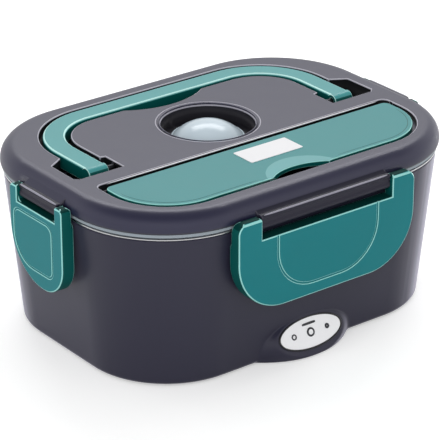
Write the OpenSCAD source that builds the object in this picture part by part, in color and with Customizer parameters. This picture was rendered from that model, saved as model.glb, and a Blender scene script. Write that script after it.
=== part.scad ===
// Electric lunch box: a heated base, a steel food container, and a lift-off lid held by four
// snap latches. The lid carries a folding handle, a steam plug and a hinged cutlery cover.
// Millimetres. X runs along the long sides, the indicator panel faces -Y, +Z is up, and the
// origin is the middle of the footprint on the table.

/* [Overall] */
// Length of the lid over its long axis
lid_length = 235; // [225:1:250]
// Width of the lid over its short axis
lid_width = 172; // [168:1:184]
// Plan radius of the lid's corners
corner_radius = 60; // [56:1:62]
// Height of the base housing's rim above the table
rim_height = 89.5; // [84:0.5:100]
// Height of the lid from its lower edge to its flat top
lid_height = 11; // [10.5:0.5:14]
// How far the base walls lean in, per mm of height
wall_draft = 0.098; // [0.09:0.002:0.11]

/* [Base] */
// Height that the feet lift the base off the table
foot_lift = 0.8; // [0.8:0.1:2]
// Radius of each rubber foot
foot_radius = 8; // [5:0.5:9]
// Step in from the lid's edge to the top of the base wall
rim_step = 1.5; // [1.2:0.1:2]
// Thickness of the base housing's wall
shell_wall = 2.2; // [1.8:0.1:2.4]
// Radius of the base's lower edge
base_fillet = 3; // [2:0.5:5]
// Thickness of the bottom cover
cover_plate = 2.2; // [2:0.1:2.6]
// Wall thickness of the inner well
well_wall = 1.6; // [1.2:0.1:1.8]
// Height of the space for the heater parts, above the bottom cover
service_height = 10.7; // [10.6:0.1:12]
// Thickness of the heating plate
heat_plate = 3; // [2.5:0.5:4]

/* [Food container] */
// Sheet thickness of the container
steel = 0.8; // [0.6:0.1:1]
// Air gap between the well and the container
container_gap = 1.1; // [0.8:0.1:1.4]
// Radius between the container's wall and floor
container_fillet = 12; // [8:1:14]
// How far the container lifts

/* [Lid] */
// Radius of the lid's shoulder
shoulder_radius = 9; // [7:0.5:9]
// Wall thickness of the lid moulding
lid_wall = 2; // [1.6:0.1:2.2]
// Height of the silicone seal that shows under the lid
seal_band = 2; // [1.5:0.1:2.5]
// Depth of the liner's floor below the lid's lower edge
liner_drop = 7; // [6.5:0.5:9]

/* [Handle] */
// Distance from the lid's end to the outer side of the handle's arm
handle_end = 26; // [25.5:0.5:29]
// Distance from the lid's back to the handle's far edge
handle_side = 16; // [16:0.5:20]
// Width of the handle's band
handle_band = 12.5; // [11:0.5:13]
// Thickness of the handle
handle_thick = 8; // [7:0.5:8.5]
// Outer radius of the handle's corners
handle_corner = 42; // [38:1:44]
// Radius of the handle's pivot pins
handle_pin = 2; // [1.5:0.1:2.2]

/* [Steam plug] */
// Distance of the steam plug's centre behind the lid's middle
vent_y = 12.5; // [10:0.5:14]
// Radius of the recess round the steam plug
vent_radius = 26.5; // [24:0.5:27]
// Depth of the steam plug's recess
vent_depth = 9.5; // [8:0.5:10]
// Radius of the plug's dome where it meets the recess floor
dome_radius = 20; // [16:0.5:21]
// Height of the dome
dome_height = 9; // [7:0.5:10]
// Radius of the steam hole
steam_hole = 6; // [5:0.5:7]
// How far the plug lifts
plug_travel = 4; // [3:0.5:4.5]

/* [Cutlery cover] */
// Distance from the lid's end to the cutlery cover
cover_end = 20; // [19.5:0.5:23]
// Distance of the cover's straight edge in front of the lid's middle
cover_back = 25.5; // [24:0.5:27]
// Distance from the lid's front to the cover's curved edge
cover_side = 16.5; // [16:0.5:20]
// Plan radius of the cover's front corners
cover_corner = 34; // [28:1:36]
// Thickness of the cover
cover_thick = 3.6; // [3.2:0.2:4]
// Depth of the cutlery tray
tray_depth = 14; // [12:0.5:14.5]
// Radius of the finger notch, which is cut through the cover
notch_radius = 28.4; // [26:0.4:30]
// How far the finger notch reaches in from the cover's edge
notch_reach = 7.6; // [6:0.2:9]
// Radius of the shallow dish round the finger notch
dish_radius = 24; // [22:0.5:25]
// How far the dish reaches in from the cover's edge
dish_reach = 16.3; // [14:0.1:17]
// Depth of the dish where the notch cuts it
dish_depth = 1.3; // [0.8:0.1:1.8]
// Radius of the cover's hinge pins
cover_pin = 1; // [0.8:0.1:1.2]

/* [Latches] */
// Half of the front and back latches' width
latch_half = 60.5; // [56:0.5:61]
// Half of the side latches' width
side_latch_half = 24.5; // [22:0.5:26]
// Width of each ear of the front and back latches
ear_width = 16; // [12:0.5:18]
// Width of each ear of the side latches
side_ear_width = 7; // [6.5:0.5:8]
// Plan radius of the front and back latches' ears at the top
ear_round = 6; // [4:0.5:7]
// Plan radius of the side latches' ears at the top
side_ear_round = 4; // [3:0.5:4.5]
// Distance from the pin's axis down to the latch's lower edge
latch_drop = 51.4; // [48:0.2:54]
// Height of the front and back latches' pins above the lid's lower edge
pin_rise = 0.3; // [0:0.1:1]
// Height of the side latches' pins above the lid's lower edge
side_pin_rise = 2.8; // [2:0.1:3.5]
// Distance from the pin's axis to the latch's outer face
latch_face = 3.9; // [3.7:0.1:4.4]
// Distance of the latch pins outside the lid's side
pin_out = 3; // [2.9:0.1:3.4]
// Radius of the latch pins
latch_pin = 1.2; // [1:0.1:1.3]
// Thickness of the latch's face
latch_wall = 2.2; // [1.8:0.1:2.4]

/* [Indicator panel and inlets] */
// Half of the white panel's width
panel_half = 20.8; // [18:0.4:22]
// Half of the white panel's height
panel_rise = 8.1; // [7:0.1:8.5]
// Angle that the panel leans back from upright
panel_tilt = 25; // [22:1:26]
// Height of the panel's centre above the table
panel_z = 12.4; // [12:0.2:14]
// Offset of the panel's centre to the right of the middle
panel_x = -2; // [-4:0.5:4]
// How far the panel's centre stands out from the base wall
panel_out = 4.7; // [4.5:0.1:5.4]

/* [Fits] */
// Radial clearance of a turning pin
pin_fit = 0.05; // [0.03:0.01:0.08]
// Clearance between parts that slide past each other
slide_fit = 0.3; // [0.25:0.05:0.5]

/* [Hidden] */
$fn = 64;
tiny = 0.01;

// Small screws: radius, and the clear bore for one.
screw_r = 1.4;
screw_bore = screw_r + pin_fit;
post_r = 3.6;
screw_head = 2.8;
head_high = 1.2;

// Axes of the four corner radii, shared by every wall that runs round the box.
axis_x = lid_length / 2 - corner_radius;
axis_y = lid_width / 2 - corner_radius;

// The handle and the cutlery cover follow the lid's outline.
handle_reach = lid_length / 2 - handle_end;
handle_depth = lid_width / 2 - handle_side;
cover_reach = lid_length / 2 - cover_end;
cover_front = lid_width / 2 - cover_side;

// Levels, from the table up.
shell_bottom = foot_lift;
cover_top = shell_bottom + cover_plate;
shell_floor_top = cover_top + 2.2;
well_bottom = cover_top + service_height;
well_floor = well_bottom + 2;
plate_top = well_floor + heat_plate;
flange_bottom = rim_height + 0.3;
flange_top = flange_bottom + 0.9;
seal_bottom = flange_top + 0.8;
lid_bottom = seal_bottom + seal_band;
lid_top = lid_bottom + lid_height;

// Steps in from the lid's edge, measured at the rim.
shell_in = rim_step + shell_wall;
well_out = shell_in + 1.6;
container_out = well_out + well_wall + container_gap;
liner_out = container_out + steel + 1.2;
ledge_top = rim_height - 2;

// The bottom cover's edge, and the opening that it closes.
cover_inset = rim_step + (rim_height - shell_bottom) * wall_draft + base_fillet + 1;
opening_inset = cover_inset + 8;
screw_spots = [for (sx = [-1, 1]) for (sy = [-1, 1]) [sx * 55, sy * (lid_width / 2 - cover_inset - post_r)],
    [lid_length / 2 - cover_inset - post_r, 0], [cover_inset + post_r - lid_length / 2, 0]];
foot_sink = 0.8;
foot_bevel = 0.6;
foot_spots = [for (sx = [-1, 1]) for (sy = [-1, 1]) [sx * 72, sy * 42]];

// Colours.
grey = [0.31, 0.30, 0.35];
dark_grey = [0.2, 0.2, 0.24];
teal = [0.17, 0.48, 0.5];
pale_teal = [0.45, 0.69, 0.69];
metal = [0.78, 0.78, 0.8];

// ---------- shared shapes ----------

// Corner radius left at a step in from the lid's edge.
function radius_in(inset) = corner_radius - inset;

// The same, for a wall that leans in below the rim.
function radius_at(inset, z) = radius_in(inset) - (rim_height - z) * wall_draft;

// How far the walls lean, as an angle.
lean = atan(wall_draft);

// Points of an arc.
function arc(c, r, a0, a1, n = 6) =
    [for (i = [0:n]) c + r * [cos(a0 + (a1 - a0) * i / n), sin(a0 + (a1 - a0) * i / n)]];

// Outline through rounded corners. Each corner is [x, y, radius, start angle] in turn, and the
// outline is drawn a step inside.
function outline(corners, step = 0, n = 10) =
    [for (c = corners) each arc([c[0], c[1]], c[2] - step, c[3], c[3] + 90, n)];

// Corners of an upright rounded rectangle between two x and two y, with the radii from the upper
// right, anticlockwise.
function box_corners(x0, x1, y0, y1, r) = [
    [x1 - r[0], y1 - r[0], r[0], 0], [x0 + r[1], y1 - r[1], r[1], 90],
    [x0 + r[2], y0 + r[2], r[2], 180], [x1 - r[3], y0 + r[3], r[3], 270]];

// The round corner between a leaning wall and a floor at z, from the floor up or from the wall down.
function bowl(inset, z, r, up = true) =
    arc([radius_at(inset, z + r) - r / cos(lean), z + r], r, up ? -90 : -lean, up ? -lean : -90, 8);

// Points of an ellipse.
function oval(a, b, n = 48) = [for (i = [0:n - 1]) [a * cos(360 * i / n), b * sin(360 * i / n)]];

// Carries a profile round the box. The profile's x is the distance from the corner axis.
module round_box(half_x = axis_x, half_y = axis_y) {
    for (q = [0:3]) {
        near = q % 2 == 0 ? half_x : half_y;
        far = q % 2 == 0 ? half_y : half_x;
        rotate([0, 0, q * 90])
            translate([near, far, 0]) {
                rotate_extrude(angle = 90)
                    children();
                rotate([90, 0, 0])
                    linear_extrude(2 * far)
                        children();
            }
    }
}

// A solid slab with the box's plan, drawn from a profile that starts on the corner axis.
module solid_box(z0, z1) {
    round_box()
        children();
    translate([-axis_x, -axis_y, z0])
        cube([2 * axis_x, 2 * axis_y, z1 - z0]);
}

// A flat slab with upright sides at a step in from the lid's edge.
module slab(inset, z0, z1) {
    solid_box(z0, z1)
        translate([0, z0])
            square([radius_in(inset), z1 - z0]);
}

// Carries an edge's profile round four rounded corners. The edge is at x = 0, with the plate at
// its left, and each profile is narrower than the smallest radius.
module along_edge(corners) {
    for (i = [0:3]) {
        c = corners[i];
        d = corners[(i + 1) % 4];
        start = [c[0], c[1]] + c[2] * [cos(c[3] + 90), sin(c[3] + 90)];
        finish = [d[0], d[1]] + d[2] * [cos(d[3]), sin(d[3])];
        run = norm(finish - start);
        translate([c[0], c[1], 0])
            rotate([0, 0, c[3]])
                rotate_extrude(angle = 90)
                    translate([c[2], 0])
                        children();
        if (run > tiny)
            translate([start[0], start[1], 0])
                rotate([0, 0, c[3] + 90])
                    rotate([90, 0, 0])
                        mirror([0, 0, 1])
                            linear_extrude(run)
                                children();
    }
}

// A plate with four rounded corners and a soft upper edge.
module soft_plate(corners, thick, top_r) {
    width = min(2 * top_r, min([for (c = corners) c[2]]));
    linear_extrude(thick)
        polygon(outline(corners, top_r, 12));
    along_edge(corners)
        polygon(concat([[-width, thick], [-width, 0], [0, 0]],
            arc([-top_r, thick - top_r], top_r, 0, 90, 5)));
}

// ---------- base ----------

// Frame on the panel's face: x along the face, y up the face, z outwards.
wall_y = radius_at(rim_step, panel_z) + axis_y;
module on_panel() {
    translate([panel_x, -wall_y - panel_out, panel_z])
        rotate([90 - panel_tilt, 0, 0])
            children();
}
bezel = 1.1;
bezel_depth = 1.4;
lamp_radius = 2.2;
board_half = 14;
board_high = 6.4;
board_back = 8.6;
board_thick = 1.6;

// The same frame as a point: a distance up the face and one out of it.
function panel_point(up, out) = [panel_x, up * sin(panel_tilt) - out * cos(panel_tilt) - wall_y - panel_out,
    panel_z + up * cos(panel_tilt) + out * sin(panel_tilt)];

// The housing's outer form, closed at the bottom.
module shell_form() {
    soft = 0.7;
    solid_box(shell_bottom, rim_height)
        polygon(concat([[0, rim_height], [0, shell_bottom]], bowl(rim_step, shell_bottom, base_fillet),
            [[radius_at(rim_step, rim_height - soft), rim_height - soft],
            [radius_in(rim_step) - soft, rim_height]]));
}

// Space inside the housing, above its bottom ring.
module shell_space() {
    solid_box(shell_floor_top, ledge_top - 2)
        polygon([[0, shell_floor_top], [radius_at(shell_in, shell_floor_top), shell_floor_top],
            [radius_at(shell_in, ledge_top - 2), ledge_top - 2], [0, ledge_top - 2]]);
    slab(well_out - 0.2, ledge_top - 2 - tiny, rim_height + 1);
    slab(shell_in, ledge_top, rim_height + 1);
}

// Lens-shaped slab on the panel's frame, grown from the bezel's outline.
module lens(grow, z0, z1) {
    on_panel()
        translate([0, 0, z0])
            linear_extrude(z1 - z0)
                polygon(oval(panel_half + bezel + grow, panel_rise + bezel + grow * 0.62));
}

// Boss that carries the panel: a flat oblong whose slopes run out into the front wall.
boss_edge = 1.5;
boss_root = 14;
slope_run = 9.6;
slope_drop = 12;
module panel_boss() {
    half_x = panel_half + bezel + boss_edge;
    half_y = panel_rise + bezel + boss_edge;
    corners = box_corners(-half_x, half_x, -half_y, half_y, [half_y, half_y, half_y, half_y]);
    intersection() {
        on_panel() {
            translate([0, 0, -boss_root])
                linear_extrude(boss_root)
                    polygon(outline(corners, 1, 12));
            along_edge(corners)
                polygon([[-2, 0], [-2, -boss_root], [slope_run, -boss_root],
                    [slope_run, -slope_drop], [0, 0]]);
        }
        above(shell_bottom);
    }
}

// The back pad is upright, with one recess for each inlet.
inlet_y = lid_width / 2 - 2.5;
inlet_z = 12;
pad_deep = 12;
pad_half = 32;
pad_rise = 9.4;
pad_round = 9;
ac_x = -13;
ac_half = 11;
ac_high = 10;
ac_deep = 13.5;
ac_pitch = 4.3;
dc_x = 15;
dc_radius = 5;
dc_deep = 12;
module back_pad() {
    translate([0, inlet_y, inlet_z])
        rotate([90, 0, 0])
            linear_extrude(pad_deep)
                polygon(outline(box_corners(-pad_half, pad_half, -pad_rise, pad_rise,
                    [pad_round, pad_round, pad_round, pad_round]), 0, 8));
}

// Short ribs under which the latches snap.
catch_top = rim_height - 17.5;
catch_high = 2.5;
catch_in = 0.8;
catch_half = 24;
side_catch_half = 11;
module catch_rib(half, side) {
    translate([-half, catch_in - side, catch_top - catch_high])
        cube([2 * half, 4, catch_high]);
}
module catch_ribs() {
    for (turn = [0, 180]) {
        rotate([0, 0, turn])
            catch_rib(catch_half, lid_width / 2);
        rotate([0, 0, turn + 90])
            catch_rib(side_catch_half, lid_length / 2);
    }
}

// Everything above a level, near the panel.
panel_clear = 60;
module above(z) {
    translate([-panel_clear, -lid_width, z])
        cube([2 * panel_clear, lid_width, 40]);
}

module outer_shell() {
    color(grey)
        difference() {
            union() {
                difference() {
                    union() {
                        shell_form();
                        catch_ribs();
                        panel_boss();
                        back_pad();
                    }
                    shell_space();
                }
                for (p = screw_spots)
                    translate([p[0], p[1], shell_floor_top - 0.5])
                        cylinder(r = post_r, h = service_height - 2.2);
            }
            // Opening and seat for the bottom cover.
            slab(cover_inset - slide_fit, shell_bottom - 1, cover_top);
            slab(opening_inset, shell_bottom - 1, shell_floor_top + tiny);
            for (p = screw_spots)
                translate([p[0], p[1], shell_bottom])
                    cylinder(r = screw_bore, h = 20);
            // Seat for the panel, and the room behind it.
            lens(0, -bezel_depth, 1);
            intersection() {
                lens(-3, -boss_root - 1, 0.1);
                above(shell_floor_top);
            }
            // Openings for the two inlets.
            translate([ac_x - ac_half - 0.2, inlet_y - ac_deep - 1, inlet_z - ac_high / 2 - 0.2])
                cube([2 * ac_half + 0.4, ac_deep + 5, ac_high + 0.4]);
            translate([dc_x, inlet_y + 1, inlet_z])
                rotate([90, 0, 0])
                    cylinder(r = dc_radius + 0.1, h = dc_deep + 4);
        }
}

module base_cover() {
    color(dark_grey)
        difference() {
            slab(cover_inset, shell_bottom, cover_top);
            for (p = foot_spots)
                translate([p[0], p[1], shell_bottom - 1])
                    cylinder(r = foot_radius + 0.2, h = 1 + foot_sink);
            for (p = screw_spots) {
                translate([p[0], p[1], shell_bottom - 1])
                    cylinder(r = screw_bore, h = 10);
                translate([p[0], p[1], shell_bottom - 1])
                    cylinder(r = screw_head + slide_fit, h = 2.4);
            }
        }
}

// Pan-head screw: the head's underside is at z = 0 and the shank points up.
module screw(shank, long, head, head_high) {
    cylinder(r = shank, h = long);
    translate([0, 0, -head_high])
        difference() {
            cylinder(r = head, h = head_high);
            for (turn = [0, 90])
                rotate([0, 0, turn])
                    translate([-head * 0.6, -0.35, -0.1])
                        cube([head * 1.2, 0.7, head_high * 0.6]);
        }
}

module base_screws() {
    color(metal)
        for (p = screw_spots)
            translate([p[0], p[1], shell_bottom + 1.4])
                screw(screw_r, 9, screw_head, head_high);
}

module feet() {
    color("black")
        for (p = foot_spots)
            translate([p[0], p[1], 0]) {
                cylinder(r1 = foot_radius - foot_bevel, r2 = foot_radius, h = foot_bevel);
                translate([0, 0, foot_bevel])
                    cylinder(r = foot_radius, h = shell_bottom + foot_sink - foot_bevel);
            }
}

// ---------- well and heater ----------

well_fillet = container_fillet - 1;
hole_half_x = 75;
hole_half_y = 45;

module inner_well() {
    wall_top = radius_in(well_out + well_wall);
    flange_r = radius_in(shell_in + 0.2);
    color(metal)
        difference() {
            solid_box(well_bottom, well_floor)
                polygon(concat([[0, well_floor], [0, well_bottom]],
                    bowl(well_out, well_bottom, well_fillet + well_wall),
                    [[radius_at(well_out, ledge_top), ledge_top], [flange_r, ledge_top],
                    [flange_r, flange_bottom], [wall_top, flange_bottom]],
                    bowl(well_out + well_wall, well_floor, well_fillet, false)));
            translate([0, 0, well_bottom - 1])
                linear_extrude(4)
                    polygon(outline(box_corners(-hole_half_x, hole_half_x, -hole_half_y, hole_half_y,
                        [10, 10, 10, 10])));
        }
}

// The plate lies on the well's floor, inside its fillet.
plate_inset = corner_radius - radius_at(well_out + well_wall, well_floor) + well_fillet + 0.5;
heater_x = 42;
heater_long = 56;
heater_wide = 24;
heater_high = 4.2;
clamp_long = 144;
clamp_wide = 40;
clamp_thick = 1.2;
heater_z = well_floor - heater_high;
clamp_z = heater_z - clamp_thick;
clamp_spots = [for (sx = [-1, 1]) for (sy = [-1, 1]) [sx * heater_x, sy * (clamp_wide / 2 - 4)]];

module heating_plate() {
    color(metal) {
        difference() {
            union() {
                slab(plate_inset, well_floor, plate_top);
                for (p = clamp_spots)
                    translate([p[0], p[1], heater_z])
                        cylinder(r = 3, h = 5);
            }
            for (p = clamp_spots)
                translate([p[0], p[1], heater_z - 1])
                    cylinder(r = screw_bore, h = 5.4);
        }
    }
}

module ptc_heaters() {
    color("tan")
        for (side = [-1, 1])
            translate([side * heater_x - heater_long / 2, -heater_wide / 2, heater_z])
                cube([heater_long, heater_wide, heater_high]);
}

module heater_clamp() {
    color("silver")
        difference() {
            translate([-clamp_long / 2, -clamp_wide / 2, clamp_z])
                cube([clamp_long, clamp_wide, clamp_thick]);
            translate([0, 0, clamp_z - 1])
                cylinder(r = 11, h = 4);
            for (p = clamp_spots)
                translate([p[0], p[1], clamp_z - 1])
                    cylinder(r = screw_bore, h = 4);
            for (side = [-1, 1])
                translate([side * heater_x - heater_long / 2 + 6, 5 - heater_wide / 2, clamp_z - 1])
                    cube([heater_long - 12, heater_wide - 10, 4]);
        }
}

module clamp_screws() {
    color("dimgray")
        for (p = clamp_spots)
            translate([p[0], p[1], clamp_z])
                screw(screw_r, 4.8, screw_head - 0.2, head_high);
}

module thermostat() {
    color("silver")
        translate([0, 0, well_floor]) {
            translate([0, 0, -3.6])
                cylinder(r = 8, h = 3.6);
            translate([0, 0, -5])
                cylinder(r = 6.4, h = 1.4);
            for (side = [-1, 1])
                translate([side * 3.5 - 0.4, -2.5, -7])
                    cube([0.8, 5, 2.1]);
        }
}

fuse_y = 30;
module thermal_fuse() {
    color("white")
        translate([-7, fuse_y, well_floor - 2.2])
            rotate([0, 90, 0])
                cylinder(r = 2.2, h = 14);
}

// A straight wire from one point to another.
module wire(p, q, r = 0.9) {
    d = q - p;
    translate(p)
        rotate([0, acos(d[2] / norm(d)), atan2(d[1], d[0])])
            cylinder(r = r, h = norm(d));
}

module lead_wires() {
    inner_end = inlet_y - ac_deep - 2.6;
    color("firebrick") {
        wire([ac_x - ac_pitch, inner_end, inlet_z], [-8, fuse_y + 0.4, heater_z + 0.8]);
        wire([ac_x + ac_pitch, inner_end, inlet_z], [-20, 12.4, heater_z + 2.2]);
        wire([dc_x, inlet_y - dc_deep - 2.6, inlet_z], [20, 12.4, heater_z + 2.2]);
        wire([panel_x, -8.4, heater_z + 2.4], panel_point(1, -board_back - 0.6));
    }
}

// ---------- panel and inlets ----------

module indicator_panel() {
    color("white")
        difference() {
            union() {
                lens(-bezel - 0.1, -bezel_depth, 0.1);
                on_panel()
                    for (side = [-1, 1])
                        translate([side * (board_half - 4), 1, board_thick - board_back])
                            cylinder(r = 1.3, h = board_back - board_thick - 1);
            }
            on_panel()
                translate([0, 0, -3])
                    cylinder(r = lamp_radius + pin_fit, h = 5);
        }
}

module panel_bezel() {
    color("black")
        difference() {
            lens(-0.1, -bezel_depth, -0.1);
            lens(-bezel, -2, 1);
        }
}

module lamp_lens() {
    color("ivory")
        on_panel() {
            translate([0, 0, -5])
                cylinder(r = lamp_radius, h = 5);
            cylinder(r1 = lamp_radius, r2 = lamp_radius - 0.6, h = 0.4);
        }
}

module indicator_board() {
    color("darkgreen")
        on_panel()
            translate([-board_half, 1 - board_high / 2, -board_back])
                cube([2 * board_half, board_high, board_thick]);
}

module indicator_led() {
    color("red")
        on_panel() {
            translate([0, 0, board_thick - board_back])
                cylinder(r = lamp_radius - 0.3, h = 0.8);
            translate([0, 0, board_thick - board_back + 0.8])
                cylinder(r = lamp_radius - 0.7, h = 1.1);
        }
}

module ac_inlet() {
    color("black")
        difference() {
            translate([ac_x - ac_half, inlet_y - ac_deep, inlet_z - ac_high / 2])
                cube([2 * ac_half, ac_deep - 0.4, ac_high]);
            for (side = [-1, 1])
                translate([ac_x + side * ac_pitch, inlet_y + 1, inlet_z]) {
                    rotate([90, 0, 0])
                        cylinder(r = 3.9, h = 12);
                    rotate([90, 0, 0])
                        cylinder(r = 1.2 + pin_fit, h = 20);
                }
            translate([ac_x - ac_pitch, inlet_y - 11, inlet_z - 3])
                cube([2 * ac_pitch, 12, 6]);
        }
}

module ac_pins() {
    color(metal)
        for (side = [-1, 1])
            translate([ac_x + side * ac_pitch, inlet_y - 2.5, inlet_z])
                rotate([90, 0, 0])
                    cylinder(r = 1.2, h = ac_deep - 0.5);
}

module dc_inlet() {
    color("black")
        translate([dc_x, inlet_y - 0.4, inlet_z])
            rotate([90, 0, 0])
                difference() {
                    cylinder(r = dc_radius, h = dc_deep);
                    translate([0, 0, -1])
                        cylinder(r = 3, h = 10.5);
                    cylinder(r = 1.25 + pin_fit, h = 20);
                }
}

module dc_pin() {
    color(metal)
        translate([dc_x, inlet_y - 2, inlet_z])
            rotate([90, 0, 0])
                cylinder(r = 1.25, h = dc_deep);
}

// ---------- food container ----------

module food_container() {
    bead = (flange_top - flange_bottom) / 2;
    edge = radius_in(rim_step - 0.3) - bead;
    mouth = radius_in(container_out + steel);
    roll = 1.2;
    color(metal)
        solid_box(plate_top, plate_top + steel)
            polygon(concat([[0, plate_top + steel], [0, plate_top]],
                bowl(container_out, plate_top, container_fillet),
                [[radius_at(container_out, flange_bottom), flange_bottom]],
                arc([edge, flange_bottom + bead], bead, -90, 90, 6),
                arc([mouth + roll, flange_top - roll], roll, 90, 180, 4),
                bowl(container_out + steel, plate_top + steel, container_fillet - steel, false)));
}

// ---------- lid ----------

lid_radius = corner_radius;
shoulder_z = lid_top - shoulder_radius;

module lid_form() {
    solid_box(lid_bottom, lid_top)
        polygon(concat([[0, lid_top], [0, lid_bottom], [lid_radius - 0.6, lid_bottom],
            [lid_radius, lid_bottom + 0.6]],
            arc([lid_radius - shoulder_radius, shoulder_z], shoulder_radius, 0, 90, 12)));
}

module lid_space() {
    inner = shoulder_radius - lid_wall;
    solid_box(lid_bottom - 1, lid_top - lid_wall)
        polygon(concat([[0, lid_top - lid_wall], [0, lid_bottom - 1],
            [lid_radius - lid_wall, lid_bottom - 1]],
            arc([lid_radius - shoulder_radius, shoulder_z], inner, 0, 90, 6)));
}

// Carries a profile along the handle's U. The profile's x is the distance from the U's corner axis.
hand_x = handle_reach - handle_corner;
hand_y = handle_depth - handle_corner;
module along_handle(y_end) {
    for (side = [0, 1])
        mirror([side, 0, 0])
            translate([hand_x, hand_y, 0]) {
                rotate_extrude(angle = 90)
                    children();
                rotate([90, 0, 0])
                    linear_extrude(hand_y - y_end)
                        children();
            }
    rotate([0, 0, 90])
        translate([hand_y, hand_x, 0])
            rotate([90, 0, 0])
                linear_extrude(2 * hand_x)
                    children();
}

groove_out = 2.2;
groove_in = 3;
groove_depth = handle_thick + 1.2;
pocket_depth = 11;
tub = 1.8;
scoop_radius = 48;
scoop_reach = 12;
scoop_half = 32;

// Middle of the boss that holds a handle pin, inboard of the arm's end.
pin_boss_x = handle_reach - 23.5;

// Outline of a pivot pocket, from the handle's outer side: it is widest over the arm's end, and
// its inner side steps in where the arm leaves it.
function pocket(grow) = [
    [handle_reach - 18.5 - grow, -8.5 - grow], [handle_reach + 9.5 + grow * 0.4, -8.5 - grow],
    [handle_reach + 12 + grow, -6 - grow * 0.4], [handle_reach + 11.7 + grow, 14.6 + grow * 0.6],
    [handle_reach + 2 + grow * 0.4, 20.5 + grow], [handle_reach - 11.5 - grow, 20.5 + grow],
    [handle_reach - 11.5 - grow, 10 + grow], [handle_reach - 18.5 - grow, 8 + grow]];

// The U-shaped groove, its finger scoop and the two pockets at the handle's pivots. Grown by a
// wall, the same shapes make the tub that lies under them.
module groove_cut(grow, drop) {
    low = lid_top - groove_depth - drop;
    along_handle(-1)
        translate([handle_corner - handle_band - groove_in - grow, low])
            square([handle_band + groove_in + groove_out + 2 * grow, groove_depth + drop + 1 - grow]);
    intersection() {
        translate([0, handle_depth - handle_band - scoop_reach + scoop_radius + 0.5, low + 2])
            cylinder(r = scoop_radius + grow, h = groove_depth, $fn = 96);
        translate([-scoop_half, handle_depth - 30, low])
            cube([2 * scoop_half, 18, groove_depth + drop + 1 - grow]);
    }
    for (side = [0, 1])
        mirror([side, 0, 0])
            translate([0, 0, lid_top - pocket_depth - drop])
                linear_extrude(pocket_depth + drop + 1 - grow)
                    polygon(pocket(grow));
}

module vent_cut(grow, drop) {
    translate([0, vent_y, lid_top - vent_depth - drop])
        cylinder(r = vent_radius + grow, h = vent_depth + drop + 1 - grow);
    if (grow == 0)
        translate([0, vent_y, lid_top - 0.9])
            cylinder(r1 = vent_radius, r2 = vent_radius + 3, h = 1);
}

cover_gap = 2.5;
back_gap = 4.5;
tray_y0 = -cover_front - cover_gap;
tray_y1 = -cover_back + back_gap;
tray_x = cover_reach + cover_gap;
module tray_cut(grow, drop) {
    lip = cover_thick + 0.2;
    translate([0, 0, lid_top - lip - drop])
        linear_extrude(lip + drop + 1 - grow)
            polygon(outline(box_corners(-tray_x, tray_x, tray_y0, tray_y1,
                [4, 4, cover_corner + cover_gap, cover_corner + cover_gap]), -grow));
    translate([0, 0, lid_top - tray_depth - drop])
        linear_extrude(tray_depth + drop + 1 - grow)
            polygon(outline(box_corners(1.4 - tray_x, tray_x - 1.4, tray_y0 + 4.5, tray_y1,
                [4, 4, cover_corner, cover_corner]), -grow));
}

// Latch pins, as [turn about Z, distance from the middle, rise, half of the lug, half of the pin].
lug_half = latch_half - ear_width - slide_fit;
side_lug_half = side_latch_half - side_ear_width - slide_fit;
pin_half = latch_half - ear_round * 0.6;
side_pin_half = side_latch_half - side_ear_round * 0.6;
latch_places = [[0, lid_width / 2, pin_rise, lug_half, pin_half],
    [180, lid_width / 2, pin_rise, lug_half, pin_half],
    [-90, lid_length / 2, side_pin_rise, side_lug_half, side_pin_half],
    [90, lid_length / 2, side_pin_rise, side_lug_half, side_pin_half]];

// Frame on a latch's pin: x along the pin, y up, z outwards.
module at_pin(place) {
    rotate([0, 0, place[0]])
        translate([0, -place[1] - pin_out, lid_bottom + place[2]])
            rotate([90, 0, 0])
                children();
}

// How far the lid's side has turned in at a height above its lower edge.
function side_in(rise) =
    let (up = max(0, rise - lid_height + shoulder_radius))
    shoulder_radius - sqrt(max(0, shoulder_radius * shoulder_radius - up * up));

// Carries a profile along a pin. The profile's x points up and its y outwards.
module along_pin(start, finish) {
    translate([start, 0, 0])
        rotate([90, 0, 90])
            linear_extrude(finish - start)
                children();
}

// Two ridges on a web that roots in the lid's side.
lug_top = 4.2;
lug_low = -5;
lug_back = 0.4 - pin_out;
lug_front = 1.8;
neck_low = 0.8;
module lug(place) {
    root = -pin_out - side_in(place[2] + lug_top) - 0.8;
    along_pin(-place[3], place[3]) {
        polygon([[lug_low, lug_back], [neck_low, lug_back], [neck_low, root], [lug_top, root],
            [lug_top, -1], [lug_top - 0.7, lug_front], [lug_low + 1, lug_front], [lug_low, 0]]);
        translate([lug_top - 1.4, lug_front - 1.3])
            circle(1.9);
        translate([lug_low + 2.1, lug_front - 1.8])
            circle(2.4);
    }
}

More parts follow.
